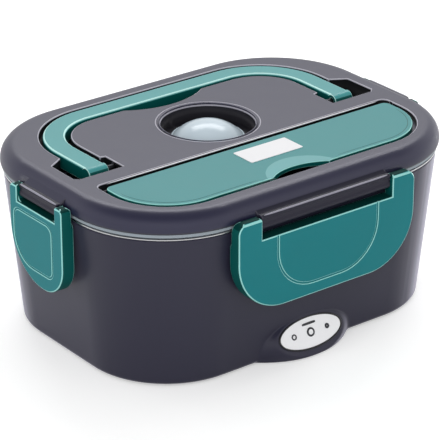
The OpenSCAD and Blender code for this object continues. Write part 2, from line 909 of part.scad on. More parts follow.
module lid_shell() {
    handle_axis = lid_top + 0.4 - handle_thick / 2;
    color(grey)
        difference() {
            union() {
                difference() {
                    lid_form();
                    lid_space();
                }
                intersection() {
                    union() {
                        groove_cut(tub, tub);
                        vent_cut(tub, tub);
                        tray_cut(tub, tub);
                    }
                    slab(shoulder_radius - 2, lid_bottom - 20, lid_top - 0.5);
                }
                for (place = latch_places)
                    at_pin(place)
                        lug(place);
                for (side = [-1, 1]) {
                    translate([side * pin_boss_x, 0, handle_axis])
                        rotate([0, 90, 0])
                            cylinder(r = 3.4, h = 18, center = true);
                    translate([side * (tray_x + 2.5) - 2, -cover_back - cover_thick / 2 - 2.6, lid_top - 4.6])
                        cube([4, 5.2, 4.1]);
                }
                // Steam spout, down through the liner.
                translate([0, vent_y, lid_bottom - liner_drop])
                    cylinder(r = steam_hole + spout_wall, h = liner_drop + lid_height - vent_depth);
            }
            groove_cut(0, 0);
            vent_cut(0, 0);
            tray_cut(0, 0);
            translate([0, vent_y, lid_bottom - liner_drop - 1])
                cylinder(r = steam_hole, h = 30);
            for (place = latch_places)
                at_pin(place)
                    rotate([0, 90, 0])
                        cylinder(r = latch_pin + pin_fit, h = 2 * place[3] + 2, center = true);
            for (side = [-1, 1]) {
                translate([side * (pin_boss_x - 1), 0, handle_axis])
                    rotate([0, 90, 0])
                        cylinder(r = handle_pin + pin_fit, h = 14, center = true);
                translate([side * (tray_x + 1.6), -cover_back - cover_thick / 2,
                    lid_top - cover_thick / 2])
                    rotate([0, 90, 0])
                        cylinder(r = cover_pin + pin_fit, h = 4, center = true);
            }
        }
}

liner_wall = 1.5;
liner_floor = 1.6;
liner_bevel = 3;
spout_wall = 2.2;
module lid_liner() {
    low = lid_bottom - liner_drop;
    wall_r = radius_in(liner_out);
    lip_r = radius_in(lid_wall + slide_fit);
    lip_top = lid_bottom + liner_wall;
    color(dark_grey)
        difference() {
            solid_box(low, low + liner_floor)
                polygon([[0, low + liner_floor], [0, low], [wall_r - liner_bevel, low],
                    [wall_r, low + liner_bevel], [wall_r, lid_bottom], [lip_r, lid_bottom],
                    [lip_r, lip_top], [wall_r - liner_wall, lip_top],
                    [wall_r - liner_wall, low + liner_bevel + 0.4],
                    [wall_r - liner_bevel - 0.3, low + liner_floor]]);
            translate([0, vent_y, low - 1])
                cylinder(r = steam_hole + spout_wall + slide_fit, h = 4);
        }
}

// The seal fills the step round the liner, and its lip presses on the container's rim.
seal_out = 1;
seal_bevel = 0.3;
lip_out = 3.6;
lip_wide = 2.4;
lip_flare = 0.5;
module lid_seal() {
    lip_in = lip_out + lip_wide;
    color([0.66, 0.7, 0.73])
        round_box()
            polygon([[radius_in(seal_out), lid_bottom], [radius_in(liner_out - 0.2), lid_bottom],
                [radius_in(liner_out - 0.2), seal_bottom], [radius_in(lip_in + lip_flare), seal_bottom],
                [radius_in(lip_in), flange_top], [radius_in(lip_out), flange_top],
                [radius_in(lip_out - lip_flare), seal_bottom],
                [radius_in(seal_out + seal_bevel), seal_bottom],
                [radius_in(seal_out), seal_bottom + seal_bevel]]);
}

module latch_pins() {
    color(metal)
        for (place = latch_places)
            at_pin(place)
                rotate([0, 90, 0])
                    cylinder(r = latch_pin, h = 2 * place[4], center = true);
}

// ---------- handle ----------

module handle() {
    axis_z = lid_top + 0.4 - handle_thick / 2;
    low = axis_z - handle_thick / 2;
    inner = handle_corner - handle_band;
    color(pale_teal)
        difference() {
            union() {
                along_handle(0)
                    polygon(concat([[inner, low]], [[handle_corner, low]],
                        arc([handle_corner - 1.6, low + handle_thick - 1.6], 1.6, 0, 90, 5),
                        arc([inner + 1.6, low + handle_thick - 1.6], 1.6, 90, 180, 5)));
                for (side = [-1, 1])
                    translate([side * (handle_reach - handle_band / 2), 0, axis_z])
                        rotate([0, 90, 0])
                            cylinder(r = handle_thick / 2, h = handle_band, center = true);
            }
            for (side = [-1, 1])
                translate([side * (handle_reach - handle_band / 2 - 3.3), 0, axis_z])
                    rotate([0, 90, 0])
                        cylinder(r = handle_pin + pin_fit, h = handle_band, center = true);
        }
}

module handle_pins() {
    axis_z = lid_top + 0.4 - handle_thick / 2;
    start = pin_boss_x - 7;
    color(metal)
        for (side = [0, 1])
            mirror([side, 0, 0])
                translate([start, 0, axis_z])
                    rotate([0, 90, 0])
                        cylinder(r = handle_pin, h = handle_reach - 3.6 - start);
}

// ---------- steam plug ----------

module steam_plug() {
    seat = lid_top - vent_depth;
    ball = (dome_radius * dome_radius + dome_height * dome_height) / (2 * dome_height);
    low = lid_bottom - liner_drop - plug_travel - 0.3;
    color([0.84, 0.88, 0.91])
        translate([0, vent_y, 0]) {
            translate([0, 0, seat])
                cylinder(r = dome_radius + 0.6, h = 1);
            intersection() {
                translate([0, 0, seat + 0.8 + dome_height - ball])
                    sphere(ball, $fn = 96);
                translate([0, 0, seat + 0.8])
                    cylinder(r = dome_radius + 2, h = dome_height + 1);
            }
            difference() {
                union() {
                    translate([0, 0, low - 1])
                        cylinder(r = steam_hole - 0.1, h = seat - low + 1.5);
                    translate([0, 0, low - 1.6])
                        cylinder(r1 = steam_hole - 0.6, r2 = steam_hole + 1.2, h = 1.6);
                }
                // Steam slot, closed by the plug's skirt until the plug lifts.
                translate([-steam_hole - 2, -1.3, low - 2])
                    cube([2 * steam_hole + 4, 2.6, seat - low + 1]);
            }
        }
}

// ---------- cutlery cover ----------

// The dish is a flat cone that is as deep as stated where the notch's edge crosses it.
dish_fall = dish_depth * (dish_radius - 2) / (dish_reach - notch_reach);
module cutlery_cover() {
    color(pale_teal)
        difference() {
            translate([0, 0, lid_top - cover_thick])
                soft_plate(box_corners(-cover_reach, cover_reach, -cover_front, -cover_back,
                    [4, 4, cover_corner, cover_corner]), cover_thick, 0.7);
            // Finger notch, with the shallow dish round it.
            translate([0, notch_reach - cover_front - notch_radius, lid_top - cover_thick - 1])
                cylinder(r = notch_radius, h = cover_thick + 2, $fn = 96);
            translate([0, dish_reach - cover_front - dish_radius, lid_top - dish_fall])
                cylinder(r1 = 2, r2 = dish_radius, h = dish_fall + tiny, $fn = 96);
            for (side = [-1, 1])
                translate([side * (cover_reach - 2), -cover_back - cover_thick / 2,
                    lid_top - cover_thick / 2])
                    rotate([0, 90, 0])
                        cylinder(r = cover_pin + pin_fit, h = 8, center = true);
        }
}

module cover_pins() {
    start = cover_reach - 5.6;
    color(metal)
        for (side = [0, 1])
            mirror([side, 0, 0])
                translate([start, -cover_back - cover_thick / 2, lid_top - cover_thick / 2])
                    rotate([0, 90, 0])
                        cylinder(r = cover_pin, h = tray_x + 3.2 - start);
}

label_x = 1.4;
label_y = -cover_back - 13.9;
label_half = 17.8;
label_deep = 16.4;
module blank_label() {
    color("white")
        translate([0, 0, lid_top])
            linear_extrude(0.3)
                polygon(outline(box_corners(label_x - label_half, label_x + label_half,
                    label_y - label_deep / 2, label_y + label_deep / 2, [0.8, 0.8, 0.8, 0.8]), 0, 3));
}

// ---------- latches ----------

// One latch in its pin's frame. low_r gives the radii of its lower corners from the left, notch
// is the depth of the gap between its ears below the pin's axis, notch_r the radius of the gap's
// corners, and mark the corners of the line sunk in its face.
latch_back = 0.7 + pin_out;
latch_rim = 2;
latch_edge = 1.2;
bead_high = 3;
bead_gap = 0.5;
bead_web = 1.6;
mark_wide = 1;
mark_deep = 0.5;
module latch(place, half, ear, top_r, notch, notch_r, low_r, mark, bead_half) {
    ear_r = pin_out - 0.6;
    ear_low = -notch - 12;
    thick = latch_face + latch_back;
    inside = latch_face - latch_wall;
    face_corners = box_corners(-half, half, -latch_drop, -notch, [3, 3, low_r[0], low_r[1]]);
    bead_top = catch_top - catch_high - bead_gap - lid_bottom - place[2];
    bead_back = pin_out + catch_in - slide_fit;
    color(teal)
        difference() {
            union() {
                difference() {
                    translate([0, 0, -latch_back])
                        soft_plate(face_corners, thick, latch_edge);
                    translate([0, 0, -latch_back - 1])
                        linear_extrude(inside + latch_back + 1)
                            polygon(outline(face_corners, latch_rim));
                }
                for (side = [0, 1])
                    mirror([side, 0, 0])
                        intersection() {
                            translate([0, 0, -latch_back])
                                soft_plate(box_corners(half - ear, half, ear_low, ear_r, [top_r, 2, 2, 2]),
                                    thick, latch_edge);
                            along_pin(half - ear - 1, half + 1) {
                                translate([ear_low - 1, -ear_r])
                                    square([-ear_low + 1, latch_face + ear_r]);
                                circle(ear_r);
                                square([ear_r, latch_face - ear_r]);
                                translate([0, latch_face - ear_r])
                                    circle(ear_r);
                            }
                        }
                // Round corners of the gap between the ears.
                if (notch_r > 0)
                    for (side = [0, 1])
                        mirror([side, 0, 0])
                            translate([half - ear, -notch, -ear_r])
                                linear_extrude(latch_face + ear_r - latch_edge)
                                    polygon(concat([[1, -latch_rim], [1, notch_r]],
                                        arc([-notch_r, notch_r], notch_r, 0, -90, 6),
                                        [[-notch_r, -latch_rim]]));
                // Bead that snaps under the housing's rib, with two webs behind it.
                translate([-bead_half, bead_top - bead_high, -bead_back])
                    cube([2 * bead_half, bead_high, inside + bead_back + tiny]);
                for (side = [-1, 1])
                    translate([side * (bead_half - 1) - bead_web / 2, bead_top - 16, -1])
                        cube([bead_web, 26, inside + 1 + tiny]);
            }
            along_pin(-place[4] - 0.2, place[4] + 0.2)
                circle(latch_pin + pin_fit);
            translate([0, 0, latch_face - mark_deep])
                linear_extrude(2)
                    difference() {
                        polygon(outline(mark));
                        polygon(outline(mark, mark_wide));
                    }
        }
}

module long_latch(place) {
    notch = 9.6;
    mark_half = latch_half - 25.8;
    latch(place, latch_half, ear_width, ear_round, notch, 0, [31, 31],
        box_corners(-mark_half, mark_half, 6.9 - latch_drop, 5 - notch, [2, 2, 25, 25]), catch_half);
}

// The side latches are lopsided: the lower corner nearer the front is the tighter one.
module side_latch(place, flip) {
    notch = 7.5;
    mirror([flip, 0, 0])
        latch(place, side_latch_half, side_ear_width, side_ear_round, notch, 2.5, [30, 18.5],
            box_corners(3.5 - side_latch_half, side_latch_half - 9, 8.8 - latch_drop, -notch - 3.5,
                [6, 5, 17, 5]), side_catch_half);
}

module latch_front() {
    at_pin(latch_places[0])
        long_latch(latch_places[0]);
}

module latch_back() {
    at_pin(latch_places[1])
        long_latch(latch_places[1]);
}

module latch_left() {
    at_pin(latch_places[2])
        side_latch(latch_places[2], 0);
}

module latch_right() {
    at_pin(latch_places[3])
        side_latch(latch_places[3], 1);
}

outer_shell();
base_cover();
base_screws();
feet();
inner_well();
heating_plate();
ptc_heaters();
heater_clamp();
clamp_screws();
thermostat();
thermal_fuse();
lead_wires();
indicator_panel();
panel_bezel();
lamp_lens();
indicator_board();
indicator_led();
ac_inlet();
ac_pins();
dc_inlet();
dc_pin();
food_container();
lid_shell();
lid_liner();
lid_seal();
latch_pins();
handle();
handle_pins();
steam_plug();
cutlery_cover();
cover_pins();
blank_label();
latch_front();
latch_back();
latch_left();
latch_right();
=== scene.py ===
# Electric lunch box: finishes, fine forms and studio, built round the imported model.
# Metres. X along the long side, -Y towards the indicator panel, Z up from the table.
import bpy, bmesh, math
import numpy as np
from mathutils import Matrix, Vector


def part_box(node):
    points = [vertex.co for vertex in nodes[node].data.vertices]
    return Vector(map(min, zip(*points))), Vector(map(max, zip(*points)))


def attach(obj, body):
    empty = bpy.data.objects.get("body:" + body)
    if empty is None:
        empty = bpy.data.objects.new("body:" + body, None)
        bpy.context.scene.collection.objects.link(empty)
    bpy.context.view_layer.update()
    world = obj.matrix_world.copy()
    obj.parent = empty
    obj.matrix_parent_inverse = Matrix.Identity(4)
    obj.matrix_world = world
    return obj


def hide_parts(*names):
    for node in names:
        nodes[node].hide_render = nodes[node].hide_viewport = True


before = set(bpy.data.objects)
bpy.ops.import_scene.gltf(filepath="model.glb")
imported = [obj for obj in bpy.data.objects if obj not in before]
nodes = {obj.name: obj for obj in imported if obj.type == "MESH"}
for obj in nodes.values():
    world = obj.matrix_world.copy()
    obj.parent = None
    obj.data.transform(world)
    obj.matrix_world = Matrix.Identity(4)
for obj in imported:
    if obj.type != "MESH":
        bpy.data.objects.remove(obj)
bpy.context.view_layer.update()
print("frame loaded:", len(nodes), "nodes")

mm = 0.001


def hexLinear(code):
    # sRGB hex to linear: ((c + 0.055) / 1.055) ** 2.4
    c = np.array([int(code[i:i + 2], 16) for i in (0, 2, 4)]) / 255.0
    return [*np.where(c < 0.04045, c / 12.92, ((c + 0.055) / 1.055) ** 2.4), 1.0]


def newFinish(name):
    # A new material with its nodes, its links and its shader.
    mat = bpy.data.materials.new(name)
    mat.use_nodes = True
    return mat, mat.node_tree.nodes, mat.node_tree.links, mat.node_tree.nodes["Principled BSDF"]


def link(links, a, out, b, into):
    # Joins the socket named out of one node to the socket named into of another.
    links.new(a.outputs[out], b.inputs[into])


def adjust(mat, values):
    # Constant values, set on the sockets of the finish's own shader.
    for socket, value in values.items():
        mat.node_tree.nodes["Principled BSDF"].inputs[socket].default_value = value


def noiseOn(n, links, source, out, scale, detail, rough=0.5):
    # Noise over the coordinates that a node gives out.
    tex = n.new("ShaderNodeTexNoise")
    tex.inputs["Scale"].default_value = scale
    tex.inputs["Detail"].default_value = detail
    tex.inputs["Roughness"].default_value = rough
    link(links, source, out, tex, "Vector")
    return tex


def glossOn(n, links, tex, skin, low, high):
    # The shader's roughness runs from low to high with the noise.
    ramp = n.new("ShaderNodeMapRange")
    ramp.inputs["To Min"].default_value = low
    ramp.inputs["To Max"].default_value = high
    link(links, tex, "Fac", ramp, "Value")
    link(links, ramp, "Result", skin, "Roughness")


def blendOn(n, links, driver, out, skin, first, second):
    # The shader's colour runs from the first to the second with the driver's output.
    tint = n.new("ShaderNodeMix")
    tint.data_type = "RGBA"
    tint.inputs["A"].default_value = first
    tint.inputs["B"].default_value = second
    link(links, driver, out, tint, "Factor")
    link(links, tint, "Result", skin, "Base Color")


# Noise scales are per metre, and along x, y and z for the metals.
moulding = {"cloudScale": 60, "cloudDetail": 3, "glossSpread": 0.03,
            "grainScale": 1800, "grainDetail": 2, "grainRough": 0.6,
            "bumpGain": 5, "bumpDepth": 0.04 * mm}
wear = {"scale": 400, "detail": 2, "rough": 0.3, "glossier": 0.05, "duller": 0.08}
metal = {"even": (200, 200, 200), "brushed": (40, 40, 2500), "detail": 3,
         "glossier": 0.07, "duller": 0.1}


def mouldedFinish(name, colour, rough=0.34, grain=0.02, mottle=0.04, specular=0.5):
    # Injection-moulded plastic: fine spark-eroded grain in the bump, faint mottling in colour and gloss.
    mat, n, links, skin = newFinish(name)
    coords = n.new("ShaderNodeTexCoord")
    cloud = noiseOn(n, links, coords, "Object", moulding["cloudScale"], moulding["cloudDetail"])
    glossOn(n, links, cloud, skin, rough - moulding["glossSpread"], rough + moulding["glossSpread"])
    darker, paler = ([v * k for v in hexLinear(colour)[:3]] + [1] for k in (1 - mottle, 1 + mottle))
    blendOn(n, links, cloud, "Fac", skin, darker, paler)
    fine = noiseOn(n, links, coords, "Object", moulding["grainScale"], moulding["grainDetail"],
                   moulding["grainRough"])
    bump = n.new("ShaderNodeBump")
    bump.inputs["Strength"].default_value = grain * moulding["bumpGain"]
    bump.inputs["Distance"].default_value = moulding["bumpDepth"]
    link(links, fine, "Fac", bump, "Height")
    link(links, bump, "Normal", skin, "Normal")
    skin.inputs["Specular IOR Level"].default_value = specular
    return mat


def paintedLightEdgeFinish(name, colour, lowShadeColour, low, high):
    # Painted light on edges: the darker colour, a painted shade, below the low height, easing to the paler
    # one, a painted highlight, above the high height.
    mat, n, links, skin = newFinish(name)
    coords = n.new("ShaderNodeTexCoord")
    split = n.new("ShaderNodeSeparateXYZ")
    link(links, coords, "Object", split, "Vector")
    height = n.new("ShaderNodeMapRange")
    height.inputs["From Min"].default_value = low
    height.inputs["From Max"].default_value = high
    link(links, split, "Z", height, "Value")
    blendOn(n, links, height, "Result", skin, hexLinear(lowShadeColour), hexLinear(colour))
    scuffs = noiseOn(n, links, coords, "Object", wear["scale"], wear["detail"])
    glossOn(n, links, scuffs, skin, wear["rough"] - wear["glossier"], wear["rough"] + wear["duller"])
    return mat


def metalFinish(name, colour, rough=0.25, grain="brushed"):
    # Metal whose gloss varies evenly, or in fine level strokes where it is brushed.
    mat, n, links, skin = newFinish(name)
    coords = n.new("ShaderNodeTexCoord")
    mapping = n.new("ShaderNodeMapping")
    mapping.inputs["Scale"].default_value = metal[grain]
    link(links, coords, "Object", mapping, "Vector")
    tex = noiseOn(n, links, mapping, "Vector", 1.0, metal["detail"])
    glossOn(n, links, tex, skin, rough - metal["glossier"], rough + metal["duller"])
    skin.inputs["Metallic"].default_value = 1.0
    skin.inputs["Base Color"].default_value = hexLinear(colour)
    return mat


bodyGrey = mouldedFinish("bodyGrey", "262537", 0.4, specular=0.42)
adjust(bodyGrey, {"Sheen Weight": 0.8, "Sheen Roughness": 0.3, "Sheen Tint": (0.86, 0.84, 1, 1)})
lidGrey = mouldedFinish("lidGrey", "1f1f37", 0.38, specular=0.66)
adjust(lidGrey, {"Specular Tint": (0.91, 0.9, 1, 1)})
lugGrey = mouldedFinish("lugGrey", "22212f", 0.36, specular=0.25)
# Pale grey painted highlight for the rods on the lugs.
lugRidgeHighlight = mouldedFinish("lugRidgeHighlight", "8a8997", 0.3)
# Painted highlight on the lid's upper edge strips and painted shade on its lower ones.
greyEdgePaintedLight = paintedLightEdgeFinish("greyEdgePaintedLight", "a3a1ad", "33323f", 102.5 * mm, 103.6 * mm)
# Near-white painted highlight for the rod along the tray's back edge.
trayHighlightWhite = mouldedFinish("trayHighlightWhite", "e9e8ee", 0.25, 0.004)
# Darker grey painted shade inside the steam well.
wellShadeGrey = mouldedFinish("wellShadeGrey", "1b1a21", 0.5, specular=0.25)
# Near-black painted shade for the walls of the tray and the handle's groove, and for the gap behind the
# tray's back edge.
paintedShadeBlack = mouldedFinish("paintedShadeBlack", "0d0d10", 0.55, specular=0.2)
darkPlastic = mouldedFinish("darkPlastic", "26252c", 0.45)
latchTeal = mouldedFinish("latchTeal", "06747a", 0.36, specular=0.22)
# Darker teal painted shade for the tops of the latches' ears.
latchTopShade = mouldedFinish("latchTopShade", "013633", 0.5, specular=0.08)
# Darker teal painted shade for the sides and backs of the latches and the walls of the handle and the cover.
tealSideShade = mouldedFinish("tealSideShade", "04504d", 0.4, specular=0.12)
# Pale teal painted highlight for the latches' round edges.
latchEdgeHighlight = mouldedFinish("latchEdgeHighlight", "8fd0cb", 0.3)
coverTeal = mouldedFinish("coverTeal", "0c7c7e", 0.36, specular=0.45)
handleTeal = mouldedFinish("handleTeal", "3b8f90", 0.34, specular=0.45)
# Pale teal painted highlight for the handle's round edges.
handleEdgeHighlight = mouldedFinish("handleEdgeHighlight", "b4e4de", 0.3)
# Pale teal painted highlight for the cover's round rim.
coverEdgeHighlight = mouldedFinish("coverEdgeHighlight", "86cbc4", 0.3)
coverShade = mouldedFinish("coverShade", "0c5a58", 0.4, specular=0.3)
# Paler teal painted light for the sloping fingertip dish.
dishHighlightTeal = mouldedFinish("dishHighlightTeal", "5b9c9e", 0.5, 0.06)
steelSheet = metalFinish("steelSheet", "d8d8da")
steelPin = metalFinish("steelPin", "b9bbbf", 0.3, "even")
blackedPin = metalFinish("blackedPin", "2b2c30", 0.35, "even")
castMetal = metalFinish("castMetal", "c3c4c8", 0.4, "even")
softSilicone = mouldedFinish("softSilicone", "8f99a1", 0.5)
plugSilicone = mouldedFinish("plugSilicone", "bac8d1", 0.2)
whiteGloss = mouldedFinish("whiteGloss", "f4f4f6", 0.3, 0.004, 0.01)
markInk = mouldedFinish("markInk", "2a2a30", 0.4, 0.004)
blackGloss = mouldedFinish("blackGloss", "17161b", 0.3)
blackRubber = mouldedFinish("blackRubber", "141416", 0.7, 0.05)
labelPaper = mouldedFinish("labelPaper", "dfdfe1", 0.55, 0.01, 0.02, specular=0.3)
ceramicTan = mouldedFinish("ceramicTan", "b9a98a", 0.6)
boardGreen = mouldedFinish("boardGreen", "14502c", 0.4)
wireRed = mouldedFinish("wireRed", "8f1f1a", 0.4)

finishOf = {
    bodyGrey: ["outer_shell"],
    lidGrey: ["lid_shell"],
    darkPlastic: ["base_cover", "lid_liner"],
    latchTeal: ["latch_front", "latch_back", "latch_left", "latch_right"],
    handleTeal: ["handle"],
    coverTeal: ["cutlery_cover"],
    steelSheet: ["food_container"],
    steelPin: ["base_screws", "clamp_screws", "ac_pins", "dc_pin", "thermostat"],
    blackedPin: ["latch_pins", "handle_pins", "cover_pins"],
    castMetal: ["inner_well", "heating_plate", "heater_clamp"],
    softSilicone: ["lid_seal"],
    plugSilicone: ["steam_plug"],
    whiteGloss: ["indicator_panel", "lamp_lens"],
    blackGloss: ["panel_bezel", "ac_inlet", "dc_inlet"],
    blackRubber: ["feet"],
    labelPaper: ["blank_label", "thermal_fuse"],
    ceramicTan: ["ptc_heaters"],
    boardGreen: ["indicator_board"],
    wireRed: ["lead_wires", "indicator_led"],
}


def dress(obj, mat):
    obj.data.materials.clear()
    obj.data.materials.append(mat)


for mat, names in finishOf.items():
    for name in names:
        dress(nodes[name], mat)
print("finishes given")

# Places that the faces of the lid and the base are told apart by.
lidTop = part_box("lid_shell")[1][2]
lidForm = {"axisX": 57.5 * mm, "axisY": 26 * mm, "radius": 60 * mm}   # corner axes of the lid's outline
panelFrame = {"x": -2 * mm, "y": -81.64 * mm, "z": 12.4 * mm, "tilt": math.radians(25)}
wallPlane = {"y": -76.944 * mm, "z": 12.4 * mm, "draft": 0.098}   # front wall behind the panel
vent = {"x": 0.0, "y": 12.5 * mm, "radius": 26.5 * mm}
pinHeight = {"long": 93.8, "side": 96.3}   # latch pins of the long sides and the ends, in mm


def insetOf(x, y):
    # Distance inside the lid's outline: radius less the distance from the nearest corner axis.
    dx = np.maximum(np.abs(x) - lidForm["axisX"], 0)
    dy = np.maximum(np.abs(y) - lidForm["axisY"], 0)
    return lidForm["radius"] - np.hypot(dx, dy)


def frontWall(z):
    # The front wall's y at a height: its y behind the panel less draft * the height above that place.
    return wallPlane["y"] - (z - wallPlane["z"]) * wallPlane["draft"]


lidZones = {
    "shallow": 0.5 * mm,      # the well, the groove and the tray start this far below the top
    "deep": 20 * mm,          # and end here
    "wellSlack": 0.4 * mm,    # beyond the well's own radius
    "rim": 11.5 * mm,         # width of the rim round the groove and the tray
    "trayBack": -23 * mm,     # the tray lies in front of this y
    "floorUp": 0.9,           # least upward lean of a floor
    "lugOut": -0.6 * mm,      # a lug lies outside the outline by more than this
}


def lidFaces(mid, normal):
    # 2 in the steam well and 3 in the handle's groove and on the tray's walls, both painted shade, 4 on the
    # latches' lugs and 0 elsewhere.
    zone = lidZones
    inside = (mid[:, 2] < lidTop - zone["shallow"]) & (mid[:, 2] > lidTop - zone["deep"])
    fromVent = np.hypot(mid[:, 0] - vent["x"], mid[:, 1] - vent["y"])
    well = inside & (fromVent < vent["radius"] + zone["wellSlack"])
    trayFloor = inside & (normal[:, 2] > zone["floorUp"]) & (mid[:, 1] < zone["trayBack"])
    inset = insetOf(mid[:, 0], mid[:, 1])
    cut = inside & (inset > zone["rim"]) & ~well & ~trayFloor
    return np.where(well, 2, np.where(cut, 3, np.where(inset < zone["lugOut"], 4, 0)))


# Edges are told by the range of their upward lean, from 0 for a wall to 1 for a level face.
handleZones = {"edge": (0.6, 0.93), "wallUp": 0.3, "tip": 3 * mm, "tipWallUp": 0.6}


def handleFaces(mid, normal):
    # 1 on the round edges of the upper side, a painted highlight; 2 on the walls below them and on the ends
    # of the arms, painted shade.
    zone = handleZones
    up = normal[:, 2]
    tip = mid[:, 1] < zone["tip"]
    edge = (up > zone["edge"][0]) & (up < zone["edge"][1]) & ~tip
    wall = (up < zone["wallUp"]) | (tip & (up < zone["tipWallUp"]))
    return np.where(edge, 1, np.where(wall, 2, 0))


coverZones = {"edge": (0.4, 0.95), "wallUp": 0.3,
              "dishUp": (0.9, 0.998), "dishBack": -50 * mm, "dishHalf": 26 * mm}


def coverFaces(mid, normal):
    # 1 on the round rim, a painted highlight; 2 on the walls, painted shade; 3 in the fingertip's dish, a
    # paler teal as painted light on its slope.
    zone = coverZones
    up = normal[:, 2]
    slight = (up > zone["dishUp"][0]) & (up < zone["dishUp"][1])
    dish = slight & (mid[:, 1] < zone["dishBack"]) & (np.abs(mid[:, 0]) < zone["dishHalf"])
    edge = (up > zone["edge"][0]) & (up < zone["edge"][1])
    return np.where(dish, 3, np.where(edge, 1, np.where(up < zone["wallUp"], 2, 0)))


# Here the lean is towards the latch's outer side, and topUp is the least upward lean of a top.
latchZones = {"edge": (0.6, 0.93), "turnedAway": 0.55, "topUp": 0.5}


def latchFaces(out):
    # 1 on the round edge of the face, a painted highlight; 2 on the sides and the back, painted shade; 3 on
    # the top, a darker painted shade.
    def pick(mid, normal):
        zone = latchZones
        facing = normal @ np.array(out)
        side = np.where(normal[:, 2] > zone["topUp"], 3, 2)
        edge = (facing > zone["edge"][0]) & (facing < zone["edge"][1])
        return np.where(edge, 1, np.where(facing < zone["turnedAway"], side, 0))
    return pick


def plainFaces(mid, normal):
    # 0 everywhere.
    return np.zeros(len(mid), int)


softEdge = {
    # node: body, slot, finishes by number, edge radius in mm, least angle in degrees, face numbers
    "lid_shell": ("lid", "grey", (lidGrey, greyEdgePaintedLight, wellShadeGrey, paintedShadeBlack, lugGrey), 0.6, 30, lidFaces),
    "outer_shell": ("base", "grey", (bodyGrey, bodyGrey), 0.3, 35, plainFaces),
    "handle": ("handle", "pale_teal", (handleTeal, handleEdgeHighlight, tealSideShade), 0.3, 30, handleFaces),
    "cutlery_cover": ("cover", "pale_teal", (coverTeal, coverEdgeHighlight, tealSideShade, dishHighlightTeal), 0.3, 30, coverFaces),
}
latchSkins = (latchTeal, latchEdgeHighlight, tealSideShade, latchTopShade)
latchOut = {"front": (0, -1, 0), "back": (0, 1, 0), "left": (-1, 0, 0), "right": (1, 0, 0)}
for place, out in latchOut.items():
    softEdge["latch_" + place] = (place + "_latch", "teal", latchSkins, 0.35, 30, latchFaces(out))

# Points nearer than this are joined, and faces that meet at less than this angle become one.
softening = {"nearest": 0.06 * mm, "flattest": math.radians(0.8), "segments": 2}
# The boss of the base: how far it reaches, how much stands out at least, and how deep it is drawn back.
bossPatch = {"half": 46 * mm, "top": 32 * mm, "proud": 0.05 * mm, "sunk": 0.9 * mm}
loweredTop = {
    # node: largest inset from the lid's outline in mm, and height share kept at the ends and the long sides
    "lid_shell": {"inset": -0.6, "side": 0.5, "long": 0.72},
    "latch_left": {"inset": 100, "side": 0.62, "long": 1},
    "latch_right": {"inset": 100, "side": 0.62, "long": 1},
}
endsBeyond = 100 * mm   # |x| past which a lug or a latch is one of the ends'


def finished(piece, body, slotName, *stoodFor):
    # Links a piece, hides the nodes it stands for and lets it ride on its body.
    if not piece.users_collection:
        bpy.context.scene.collection.objects.link(piece)
    if stoodFor:
        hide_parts(*stoodFor)
    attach(piece, body)
    return piece


def drawBackBoss(bm):
    # The boss is drawn back into the wall, because its flowing skin is a piece of its own.
    for v in bm.verts:
        wall = frontWall(v.co.z)
        inPatch = abs(v.co.x) < bossPatch["half"] and v.co.z < bossPatch["top"]
        if inPatch and v.co.y < wall - bossPatch["proud"]:
            v.co.y = wall + bossPatch["sunk"]


def lowerTops(bm, row):
    # Where the inset from the lid's outline is less than the row's, what is above the pin keeps a share of
    # its height: pin + (z - pin) * share.
    for v in bm.verts:
        place = "side" if abs(v.co.x) > endsBeyond else "long"
        pin = pinHeight[place] * mm
        if v.co.z > pin and insetOf(v.co.x, v.co.y) < row["inset"] * mm:
            v.co.z = pin + (v.co.z - pin) * row[place]


def softened(name, body, slotName, skins, radius, sharp, pick):
    # A copy of the node with its triangles joined and each sharp outer edge turned into a rounded strip,
    # which has the finish of number 1.
    # On the lid, the handle, the cover and the latches, finish number 1 paints light along the edges.
    mesh = nodes[name].data.copy()
    bm = bmesh.new()
    bm.from_mesh(mesh)
    bmesh.ops.remove_doubles(bm, verts=bm.verts, dist=softening["nearest"])
    bmesh.ops.dissolve_limit(bm, angle_limit=softening["flattest"], verts=bm.verts, edges=bm.edges)
    for face in bm.faces:
        face.smooth = True
    if name == "outer_shell":
        drawBackBoss(bm)
    if name in loweredTop:
        lowerTops(bm, loweredTop[name])
    weight = bm.edges.layers.float.new("bevel_weight_edge")
    for edge in bm.edges:
        if len(edge.link_faces) == 2 and edge.is_convex and edge.calc_face_angle() > math.radians(sharp):
            edge[weight] = 1
    bm.to_mesh(mesh)
    bm.free()
    count = len(mesh.polygons)
    mid, normal = np.empty(count * 3), np.empty(count * 3)
    mesh.polygons.foreach_get("center", mid)
    mesh.polygons.foreach_get("normal", normal)
    mesh.materials.clear()
    for skin in skins:
        mesh.materials.append(skin)
    numbers = pick(mid.reshape(-1, 3), normal.reshape(-1, 3))
    mesh.polygons.foreach_set("material_index", numbers.astype(np.int32))
    piece = bpy.data.objects.new(name + "Soft", mesh)
    bevel = piece.modifiers.new("roundEdges", "BEVEL")
    bevel.width = radius * mm
    bevel.segments = softening["segments"]
    bevel.limit_method = "WEIGHT"
    bevel.use_clamp_overlap = False
    bevel.miter_outer = "MITER_ARC"
    bevel.material = 1
    flat = piece.modifiers.new("flatFaces", "WEIGHTED_NORMAL")
    flat.keep_sharp = True
    return finished(piece, body, slotName, name)


for name, row in softEdge.items():
    softened(name, *row)
print("edges softened")


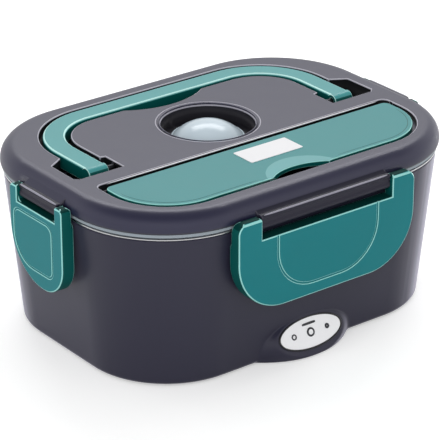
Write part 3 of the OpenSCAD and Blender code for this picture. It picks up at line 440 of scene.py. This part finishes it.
def gridMesh(name, points, closeU, closeV, skin):
    # A grid of points (rows, columns, 3) as quads, joined end to start where it closes. Points less than
    # a micrometre apart become one, which closes the poles.
    rows, columns = points.shape[:2]
    i = np.arange(rows if closeU else rows - 1)
    j = np.arange(columns if closeV else columns - 1)
    i, j = np.meshgrid(i, j, indexing="ij")
    ni, nj = (i + 1) % rows, (j + 1) % columns
    quads = np.stack([i * columns + j, ni * columns + j, ni * columns + nj, i * columns + nj], -1)
    mesh = bpy.data.meshes.new(name)
    mesh.from_pydata(points.reshape(-1, 3).tolist(), [], quads.reshape(-1, 4).tolist())
    bm = bmesh.new()
    bm.from_mesh(mesh)
    bmesh.ops.remove_doubles(bm, verts=bm.verts, dist=0.001 * mm)
    bmesh.ops.recalc_face_normals(bm, faces=bm.faces)
    for face in bm.faces:
        face.smooth = True
    bm.to_mesh(mesh)
    bm.free()
    mesh.materials.append(skin)
    return bpy.data.objects.new(name, mesh)


def onPanel(u, v, w):
    # A point on the panel's frame, u along the face, v up it and w out of it: the frame's middle plus u
    # along x, plus v times (sine, cosine) and w times (minus cosine, sine) of the tilt in y and z.
    sinT, cosT = math.sin(panelFrame["tilt"]), math.cos(panelFrame["tilt"])
    return np.stack([panelFrame["x"] + u, panelFrame["y"] + v * sinT - w * cosT,
                     panelFrame["z"] + v * cosT + w * sinT], -1)


bossSkin = {
    "halfLong": 22.9 * mm, "halfHigh": 10.2 * mm,          # flat place round the panel, as half axes
    "fall": 25 * mm, "power": 1.2, "lowStretch": 0.8,      # flank, gentler below the panel
    "brow": 0.03, "blend": 0.9 * mm,                       # roundness of the brow and of the foot
    "left": -44 * mm, "right": 40 * mm, "bottom": 0.8 * mm, "top": 33 * mm,
    "columns": 190, "rows": 90,
    "depth": 4.8 * mm, "rounding": 3 * mm,                 # reach into the wall, and its turn at the table
    "dip": 0.06 * mm, "rimWide": 6 * mm, "rimDip": 0.5 * mm,
    "seatLong": 21.5 * mm, "seatHigh": 8.8 * mm, "seatDepth": 0.8 * mm,   # half axes of the panel's place
}
search = {"low": -20 * mm, "high": 30 * mm, "steps": 32}   # range of the halving
expLimit = 30   # past it, log(exp(a) + 1) is a


def bossHeight(x, z):
    # How far the boss stands out of the wall at (x, z). The panel's plane runs on in every direction and
    # falls away by fall * (q - 1) ** power, where q is the elliptic distance from the panel's middle. The
    # out distance at which a point lies on that surface is found by halving. A soft maximum with the
    # wall, blend * log(exp(a / blend) + 1), lets the foot flow into it. Near the table the wall curves
    # inwards by radius - sqrt(radius ** 2 - depth ** 2).
    sinT, cosT = math.sin(panelFrame["tilt"]), math.cos(panelFrame["tilt"])
    low, high = np.full(x.shape, search["low"]), np.full(x.shape, search["high"])
    for _ in range(search["steps"]):
        out = (low + high) / 2
        dy = frontWall(z) - out - panelFrame["y"]
        dz = z - panelFrame["z"]
        v = dy * sinT + dz * cosT
        w = -dy * cosT + dz * sinT
        q = np.hypot((x - panelFrame["x"]) / bossSkin["halfLong"],
                     v * np.where(v < 0, bossSkin["lowStretch"], 1) / bossSkin["halfHigh"])
        t = np.maximum(np.sqrt((q - 1) ** 2 + bossSkin["brow"] ** 2) + q - 1, 0) / 2
        above = w > -bossSkin["fall"] * t ** bossSkin["power"]
        high, low = np.where(above, out, high), np.where(above, low, out)
    turn = bossSkin["rounding"]
    depth = np.clip(bossSkin["bottom"] + turn - z, 0, turn)
    inwards = turn - np.sqrt(turn ** 2 - depth ** 2)
    a = ((low + high) / 2 + inwards) / bossSkin["blend"]
    height = bossSkin["blend"] * np.where(a > expLimit, a, np.log1p(np.exp(np.minimum(a, expLimit))))
    return height - inwards


def makeBossSkin():
    # A grid over the wall, bossHeight out of it, less a small dip. The outer border dips into the wall by
    # rimDip * (1 - border) ** 2, and the panel's own place is sunk below its face by seatDepth.
    x = np.linspace(bossSkin["left"], bossSkin["right"], bossSkin["columns"])
    z = np.linspace(bossSkin["bottom"], bossSkin["top"], bossSkin["rows"])
    gridX, gridZ = np.meshgrid(x, z, indexing="ij")
    border = np.minimum.reduce([gridX - x[0], x[-1] - gridX, z[-1] - gridZ]) / bossSkin["rimWide"]
    rimDip = (1 - np.clip(border, 0, 1)) ** 2 * bossSkin["rimDip"]
    out = bossHeight(gridX, gridZ) - bossSkin["dip"] - np.where(border < 1, rimDip, 0)
    dy = frontWall(gridZ) - out - panelFrame["y"]
    v = dy * math.sin(panelFrame["tilt"]) + (gridZ - panelFrame["z"]) * math.cos(panelFrame["tilt"])
    q = np.hypot((gridX - panelFrame["x"]) / bossSkin["seatLong"], v / bossSkin["seatHigh"])
    out = out - bossSkin["seatDepth"] * (q < 1)
    front = np.stack([gridX, frontWall(gridZ) - out, gridZ], -1)
    rear = np.stack([gridX, frontWall(gridZ) + bossSkin["depth"], gridZ], -1)
    # The rows of the closed shell run up the front and back down the rear.
    return gridClosed("boss_skin", np.concatenate([front, rear[:, ::-1]], axis=1), bodyGrey)


def gridClosed(name, shell, skin):
    # A shell whose columns close on themselves, with its first and last rows capped.
    piece = gridMesh(name, shell, False, True, skin)
    bm = bmesh.new()
    bm.from_mesh(piece.data)
    bmesh.ops.holes_fill(bm, edges=[e for e in bm.edges if e.is_boundary], sides=0)
    bmesh.ops.triangulate(bm, faces=[f for f in bm.faces if len(f.verts) > 4])
    bmesh.ops.recalc_face_normals(bm, faces=bm.faces)
    bm.to_mesh(piece.data)
    bm.free()
    return piece


finished(makeBossSkin(), "base", "grey")

markSteps = {"along": 96, "around": 12}


def ring(name, path, radius, skin):
    # A closed tube: at each point of the path, point + radius * (cos(a) * side + sin(a) * normal), where
    # side lies across the path in its plane.
    ahead = np.roll(path, -1, 0) - np.roll(path, 1, 0)
    ahead /= np.linalg.norm(ahead, axis=1)[:, None]
    normal = np.cross(path - path.mean(0), ahead).mean(0)
    normal /= np.linalg.norm(normal)
    side = np.cross(ahead, normal)[:, None]
    a = np.linspace(0, 2 * np.pi, markSteps["around"], endpoint=False)[None, :, None]
    points = path[:, None] + radius * (np.cos(a) * side + np.sin(a) * normal)
    return gridMesh(name, points, True, True, skin)


def ellipseOnPanel(u, v, a, b, w):
    # Points of an ellipse on the panel: (u + a * cos(t), v + b * sin(t)), raised by w.
    t = np.linspace(0, 2 * np.pi, markSteps["along"], endpoint=False)
    return onPanel(u + a * np.cos(t), v + b * np.sin(t), np.full(t.shape, w))


marks = {
    # name: middle along and up the panel, half axes, radius of the tube, height above the face
    "panel_border": (0, 0, 21.35 * mm, 8.65 * mm, 0.55 * mm, 0.0),
    "lamp_ring": (0, 0, 2.0 * mm, 2.0 * mm, 0.6 * mm, 0.1 * mm),
    "left_mark": (-11.5 * mm, 0.2 * mm, 1.3 * mm, 1.3 * mm, 0.42 * mm, 0.1 * mm),
    "right_mark": (11.5 * mm, 0.2 * mm, 0.9 * mm, 0.9 * mm, 0.6 * mm, 0.1 * mm),
    "top_mark": (0, 4.9 * mm, 4.2 * mm, 0.2 * mm, 0.5 * mm, 0.1 * mm),
}
for name, (u, v, a, b, tube, w) in marks.items():
    skin = blackGloss if name == "panel_border" else markInk
    finished(ring(name, ellipseOnPanel(u, v, a, b, w), tube, skin), "base", "black")

collarSteps = {"around": 128, "bead": 9}


def lathe(name, profile, centre, skin):
    # A closed profile of (radius, height) turned round an upright axis: centre + radius * (cos(t), sin(t)).
    t = np.linspace(0, 2 * np.pi, collarSteps["around"], endpoint=False)[:, None]
    r, z = np.array(profile).T
    points = np.stack([centre[0] + r[None] * np.cos(t), centre[1] + r[None] * np.sin(t),
                       np.broadcast_to(z, (len(t), len(z)))], -1)
    return gridMesh(name, points, True, True, skin)


def bead(r, half, low, high):
    # Half-round cross-section: r + half * cos(a), low + (high - low) * sin(a), closed by a flat foot.
    a = np.linspace(0, np.pi, collarSteps["bead"])
    return [(r + half * math.cos(v), low + (high - low) * math.sin(v)) for v in a]


beadFoot = 0.25 * mm   # how far the rings reach down into the lid
collar = {
    # ring: radius, half width and height in mm, finish
    "inner": (27.3, 0.45, 0.22, lidGrey),
    # The outer ring's finish paints a highlight on it.
    "outer": (29.2, 0.35, 0.16, greyEdgePaintedLight),
}
for name, (r, half, high, skin) in collar.items():
    section = bead(r * mm, half * mm, lidTop - beadFoot, lidTop + high * mm)
    finished(lathe("vent_" + name + "_ring", section, (vent["x"], vent["y"]), skin), "lid", "grey")

# tray_lip paints the highlight of the tray's back edge, and tray_lip_shade paints the shadow in the gap
# behind it.
trayLines = {
    # name: y, half length, half width, height of the middle above the lid and rise over it in mm, finish
    "tray_lip": (-22.35, 94, 0.36, -0.1, 0.42, trayHighlightWhite),
    "tray_lip_shade": (-21.45, 92, 0.2, 0, 0.12, paintedShadeBlack),
}
traySteps = {"along": 80, "around": 12, "power": 6}


def rodGrid(steps):
    # Places t from -1 to 1 along a rod, angles a round it, and its fade to rounded ends, which is
    # sqrt(1 - t ** power).
    t = np.linspace(-1, 1, steps["along"])[:, None]
    a = np.linspace(0, 2 * np.pi, steps["around"], endpoint=False)
    return t, a, np.sqrt(np.clip(1 - np.abs(t) ** steps["power"], 0, 1))


def makeTrayLine(name, place, half, wide, middle, rise, skin):
    # A rod along x of elliptic section: half * t along, (wide * cos(a), rise * sin(a)) * fade across.
    t, a, fade = rodGrid(traySteps)
    y = place + wide * fade * np.cos(a)
    z = lidTop / mm + middle + rise * fade * np.sin(a)
    return gridMesh(name, np.stack([half * t + 0 * a, y, z], -1) * mm, False, True, skin)


for name, row in trayLines.items():
    finished(makeTrayLine(name, *row), "lid", "grey")

# The rods give the lugs their ridges, and their pale finish paints the ridges' highlights.
lugRidges = {
    # place: turn in degrees, distance and height of the pin, half of the rod's length and the upper rod's
    # height over the pin in mm
    "front": (0, 89, pinHeight["long"], 44.1, 2.75),
    "back": (180, 89, pinHeight["long"], 44.1, 2.75),
    "left": (-90, 120.5, pinHeight["side"], 17.1, 1.925),
    "right": (90, 120.5, pinHeight["side"], 17.1, 1.925),
}
ridgeSection = {
    # rod: distance out from the pin and radius in mm
    "upper": (1.55, 0.6),
    "lower": (1.75, 0.4),
}
lowerRod = -2.6   # height over the pin in mm
ridgeSteps = {"along": 60, "around": 16, "power": 12}


def makeLugRidge(name, turn, away, height, half, out, radius):
    # A straight rod along the lug: half * t along and radius * fade * (cos(a), sin(a)) across, turned
    # about the upright axis.
    t, a, fade = rodGrid(ridgeSteps)
    r = radius * fade
    x = half * t + 0 * a
    y = -(away + out) + r * np.cos(a)
    z = height + r * np.sin(a)
    c, s = math.cos(math.radians(turn)), math.sin(math.radians(turn))
    return gridMesh(name, np.stack([c * x - s * y, s * x + c * y, z], -1) * mm, False, True, lugRidgeHighlight)


for place, (turn, away, pin, half, upperRod) in lugRidges.items():
    for rod, section in ridgeSection.items():
        height = pin + (upperRod if rod == "upper" else lowerRod)
        name = "lug_ridge_" + place + "_" + rod
        finished(makeLugRidge(name, turn, away, height, half, *section), "lid", "grey")

coverRim = {"reach": 97.5, "front": -69.5, "corner": 34, "inset": 2.6, "gapHalf": 25,
            "tube": 0.24, "below": 0.12}   # mm
rimSteps = {"straight": 20, "corner": 40, "around": 8, "power": 10}


def makeCoverLine(name, side):
    # A fine step line inside the cover's front edge, from the finger notch along x and round the corner,
    # centre + radius * (cos(t), sin(t)). The tube's radius is tube * fade.
    c = coverRim
    r, cx, cy = c["corner"] - c["inset"], c["reach"] - c["corner"], c["front"] + c["corner"]
    x = np.linspace(c["gapHalf"], cx, rimSteps["straight"])[:-1]
    t = np.radians(np.linspace(-90, 0, rimSteps["corner"]))
    path = np.concatenate([np.stack([x, np.full(x.shape, c["front"] + c["inset"])], -1),
                           np.stack([cx + r * np.cos(t), cy + r * np.sin(t)], -1)])
    path[:, 0] *= side
    ahead = np.gradient(path, axis=0)
    ahead /= np.linalg.norm(ahead, axis=1)[:, None]
    a, fade = rodGrid({**rimSteps, "along": len(path)})[1:]
    across = fade * c["tube"] * np.cos(a)
    points = np.stack([path[:, :1] - ahead[:, 1:] * across, path[:, 1:] + ahead[:, :1] * across,
                       lidTop / mm - c["below"] + fade * c["tube"] * np.sin(a)], -1)
    return gridMesh(name, points * mm, False, True, coverShade)


finished(makeCoverLine("cover_line_left", -1), "cover", "pale_teal")
finished(makeCoverLine("cover_line_right", 1), "cover", "pale_teal")
print("pieces made")

# The focal length and the centre are given in pixels of a square picture this wide.
picture = 440
view = {"azimuth": -37.67, "elevation": 24.7, "distance": 1.408, "target": (0, 0, 0.055),
        "focal": 2513.5, "centre": (221.7, 210.0), "clipEnd": 50}
cameraData = bpy.data.cameras.new("camera")
camera = bpy.data.objects.new("camera", cameraData)
bpy.context.scene.collection.objects.link(camera)
az, el = math.radians(view["azimuth"]), math.radians(view["elevation"])
back = np.array([math.sin(az) * math.cos(el), -math.cos(az) * math.cos(el), math.sin(el)])
camera.location = np.array(view["target"]) + view["distance"] * back
camera.rotation_euler = Vector(-back).to_track_quat("-Z", "Y").to_euler()
cameraData.lens = view["focal"] / picture * cameraData.sensor_width
cameraData.shift_x = (picture / 2 - view["centre"][0]) / picture
cameraData.shift_y = (view["centre"][1] - picture / 2) / picture
cameraData.clip_end = view["clipEnd"]
bpy.context.scene.camera = camera

lamps = {
    "topBack": {"place": (0.9, 1.15, 1.6), "size": (1.7, 0.7), "power": 17.4},
    "front": {"place": (-1.2, -1.3, 1.1), "size": (1.2, 1.0), "power": 13},
    "rightRim": {"place": (1.5, 0.2, 0.12), "size": (0.6, 0.5), "power": 24},
    "leftRim": {"place": (-0.6, 1.5, 0.15), "size": (0.5, 0.5), "power": 7},
}
fillOnly = ["front", "rightRim", "leftRim"]   # not seen in reflections
lampTarget = Vector((0, 0, 0.05))
for name, lamp in lamps.items():
    data = bpy.data.lights.new(name, "AREA")
    data.shape = "RECTANGLE"
    data.size, data.size_y = lamp["size"]
    data.energy = lamp["power"]
    obj = bpy.data.objects.new(name, data)
    obj.location = lamp["place"]
    obj.rotation_euler = (lampTarget - Vector(lamp["place"])).to_track_quat("-Z", "Y").to_euler()
    obj.visible_glossy = name not in fillOnly
    bpy.context.scene.collection.objects.link(obj)

# The studio's brightness: fill to rays that scatter, and in reflections low up to the direction lowSky,
# then easing to high at the direction highSky.
studio = {"fill": 0.7, "lowSky": 0.5, "highSky": 0.8, "low": 1.0, "high": 0.25}
world = bpy.data.worlds.new("studio")
bpy.context.scene.world = world
world.use_nodes = True
wn, wl = world.node_tree.nodes, world.node_tree.links
backdrop = wn["Background"]
backdrop.inputs["Color"].default_value = (1, 1, 1, 1)
# The camera, glass and metal see a white studio, whose ceiling is dimmer in reflections.
path = wn.new("ShaderNodeLightPath")
seen = wn.new("ShaderNodeMath")
seen.operation = "MAXIMUM"
wl.new(path.outputs["Is Camera Ray"], seen.inputs[0])
wl.new(path.outputs["Is Transmission Ray"], seen.inputs[1])
heading = wn.new("ShaderNodeTexCoord")
split = wn.new("ShaderNodeSeparateXYZ")
wl.new(heading.outputs["Generated"], split.inputs["Vector"])
ceiling = wn.new("ShaderNodeMapRange")
for socket, name in {"From Min": "lowSky", "From Max": "highSky", "To Min": "low", "To Max": "high"}.items():
    ceiling.inputs[socket].default_value = studio[name]
wl.new(split.outputs["Z"], ceiling.inputs["Value"])
mirrored = wn.new("ShaderNodeMix")
mirrored.inputs["A"].default_value = studio["fill"]
wl.new(path.outputs["Is Glossy Ray"], mirrored.inputs["Factor"])
wl.new(ceiling.outputs["Result"], mirrored.inputs["B"])
level = wn.new("ShaderNodeMix")
level.inputs["B"].default_value = 1.0
wl.new(seen.outputs["Value"], level.inputs["Factor"])
wl.new(mirrored.outputs["Result"], level.inputs["A"])
wl.new(level.outputs["Result"], backdrop.inputs["Strength"])

# The floor's glow is seen by the camera alone.
paper = {"half": 6.0, "colour": 0.8, "roughness": 0.9, "glow": 0.35}
floorMesh = bpy.data.meshes.new("floor")
corners = [(x * paper["half"], y * paper["half"], 0) for x, y in ((-1, -1), (1, -1), (1, 1), (-1, 1))]
floorMesh.from_pydata(corners, [], [(0, 1, 2, 3)])
floor = bpy.data.objects.new("floor", floorMesh)
bpy.context.scene.collection.objects.link(floor)
floorMat, fn, fl, floorSkin = newFinish("floorPaper")
adjust(floorMat, {"Base Color": (paper["colour"], paper["colour"], paper["colour"], 1),
                  "Roughness": paper["roughness"], "Emission Color": (1, 1, 1, 1)})
fpath = fn.new("ShaderNodeLightPath")
glow = fn.new("ShaderNodeMath")
glow.operation = "MULTIPLY"
glow.inputs[1].default_value = paper["glow"]
fl.new(fpath.outputs["Is Camera Ray"], glow.inputs[0])
fl.new(glow.outputs["Value"], floorSkin.inputs["Emission Strength"])
floorMesh.materials.append(floorMat)

bpy.context.scene.view_settings.view_transform = "Standard"
print("studio lit")
